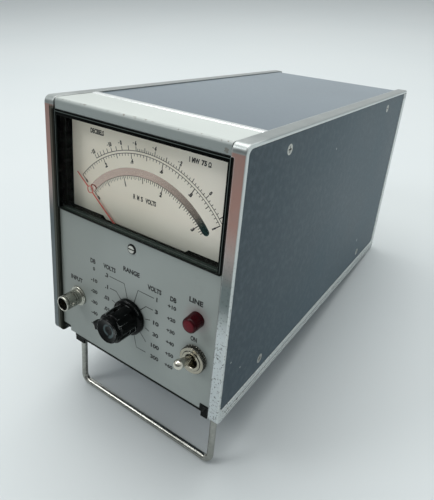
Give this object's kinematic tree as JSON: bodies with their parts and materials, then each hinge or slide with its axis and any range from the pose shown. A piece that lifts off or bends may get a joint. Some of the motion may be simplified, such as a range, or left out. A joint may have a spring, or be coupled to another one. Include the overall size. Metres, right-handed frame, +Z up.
{
  "type": "rms voltmeter",
  "caption": "Bench rms voltmeter, half-width case with a wide meter over the range switch, tilted up on a wire bail.",
  "frame": {"origin": "centre of the footprint on the table, under the bail bar and the rear ends of the frames", "axes": "+X to the right of the front, +Y from the front to the back, +Z up; the front faces -Y, tilted up about 9 degrees"},
  "size_m": [0.1302, 0.3106, 0.1958],
  "materials": {
    "frame_casting": "light grey paint worn at the edges, satin",
    "cover_paint": "dark blue-grey enamel, semi-gloss",
    "top_paint": "blue-grey enamel, fine texture",
    "trim_white": "pale grey enamel",
    "aluminium_bar": "brushed",
    "panel_grey": "mid grey enamel, matt, with printed scales",
    "rear_metal": "chromate finish, dull",
    "plated_steel": "zinc plate",
    "black_moulding": "black, glossy",
    "clear_sheet": "clear, polished",
    "dial_cream": "cream, matt, with printed scales and a mirror band",
    "soft_iron": "plain",
    "magnet_alloy": "ground",
    "brass": "turned",
    "copper_wire": "enamelled wire, stands for copper",
    "blued_steel": "fine drawn",
    "pointer_red": "red, matt",
    "nickel": "nickel plate, dulled",
    "ptfe": "white",
    "knob_black": "black phenolic, glossy",
    "steel": "drawn",
    "phenolic": "brown laminate",
    "lens_red": "dark red, polished",
    "lamp_black": "black",
    "lamp_glass": "clear",
    "bail_wire": "bright nickel plate",
    "board_green": "varnished laminate",
    "component_dark": "lacquered",
    "can_aluminium": "drawn",
    "converter_case": "black",
    "lamination": "varnished",
    "winding": "yellow tape",
    "cap_black": "black",
    "fuse_glass": "clear",
    "slider_red": "red"
  },
  "bodies": {
    "case": {"side_frame_left": "frame_casting", "side_frame_right": "frame_casting", "side_cover_left": "cover_paint", "side_cover_right": "cover_paint", "countersunk_screws": "plated_steel", "top_crossbar": "aluminium_bar", "top_trim": "trim_white", "top_cover": "top_paint", "bottom_cover": "top_paint", "rear_screws": "plated_steel", "front_panel": "panel_grey", "rear_panel": "rear_metal", "chassis_deck": "rear_metal", "meter_bezel": "black_moulding", "meter_window": "clear_sheet", "meter_case": "black_moulding", "dial_plate": "dial_cream", "meter_irons": "soft_iron", "meter_magnet": "magnet_alloy", "meter_bridges": "brass", "input_shell": "nickel", "input_insulator": "ptfe", "input_contact": "brass", "panel_nuts": "nickel", "switch_frame": "steel", "switch_wafers": "phenolic", "switch_rods": "steel", "lamp_lens": "lens_red", "lamp_holder": "lamp_black", "lamp_bulb": "lamp_glass", "toggle_bushing": "nickel", "toggle_body": "lamp_black", "bail_bracket": "black_moulding", "main_board": "board_green", "board_pillars": "steel", "board_capacitors": "can_aluminium", "board_components": "component_dark", "thermal_converter": "converter_case", "input_shield": "plated_steel", "transformer_core": "lamination", "transformer_coil": "winding", "mains_inlet": "cap_black", "inlet_pins": "brass", "fuse_holder": "cap_black", "selector_body": "cap_black", "output_sockets": "cap_black"},
    "pointer": {"pointer": "pointer_red", "moving_coil": "copper_wire", "coil_staffs": "blued_steel"},
    "zero_screw": {"zero_screw": "nickel"},
    "zero_arm": {"zero_arm": "brass"},
    "range_knob": {"range_knob": "knob_black", "knob_metal": "brass", "range_shaft": "steel", "switch_rotors": "phenolic"},
    "toggle_lever": {"toggle_lever": "nickel"},
    "tilt_bail": {"tilt_bail": "bail_wire"},
    "selector_slider": {"selector_slider": "slider_red"},
    "fuse_cap": {"fuse_cap": "cap_black", "fuse": "fuse_glass"}
  },
  "joints": [
    {"name": "pointer_swing", "type": "hinge", "parent": "case", "child": "pointer", "pos_m": [0, -0.1214, 0.11129], "axis": [0, 0.9875, -0.1577], "range_deg": [0, 103], "stiffness_Nm_per_rad": 0.001},
    {"name": "zero_screw_turn", "type": "hinge", "parent": "case", "child": "zero_screw", "pos_m": [0, -0.12851, 0.12387], "axis": [0, 0.9875, -0.1577], "range_deg": [-40, 40]},
    {"name": "zero_arm_swing", "type": "hinge", "parent": "case", "child": "zero_arm", "pos_m": [0, -0.12634, 0.11208], "axis": [0, 0.9875, -0.1577], "range_deg": [-3.4, 3.4]},
    {"name": "range_turn", "type": "hinge", "parent": "case", "child": "range_knob", "pos_m": [0, -0.13329, 0.08119], "axis": [0, 0.9875, -0.1577], "range_deg": [-60, 270]},
    {"name": "line_switch", "type": "hinge", "parent": "case", "child": "toggle_lever", "pos_m": [0.0462, -0.13405, 0.07645], "axis": [1, 0, 0], "range_deg": [0, 35]},
    {"name": "bail_fold", "type": "hinge", "parent": "case", "child": "tilt_bail", "pos_m": [0, -0.13462, 0.03735], "axis": [1, 0, 0], "range_deg": [0, 90]},
    {"name": "selector_slide", "type": "slide", "parent": "case", "child": "selector_slider", "axis": [1, 0, 0], "range_m": [0, 0.005]},
    {"name": "fuse_cap_turn", "type": "hinge", "parent": "case", "child": "fuse_cap", "pos_m": [-0.028, 0.13549, 0.08385], "axis": [0, 0.9875, -0.1577], "range_deg": [0, 45]}
  ],
  "couplings": [
    {"joint": "zero_arm_swing", "follows": "zero_screw_turn", "ratio": 0.0813}
  ]
}
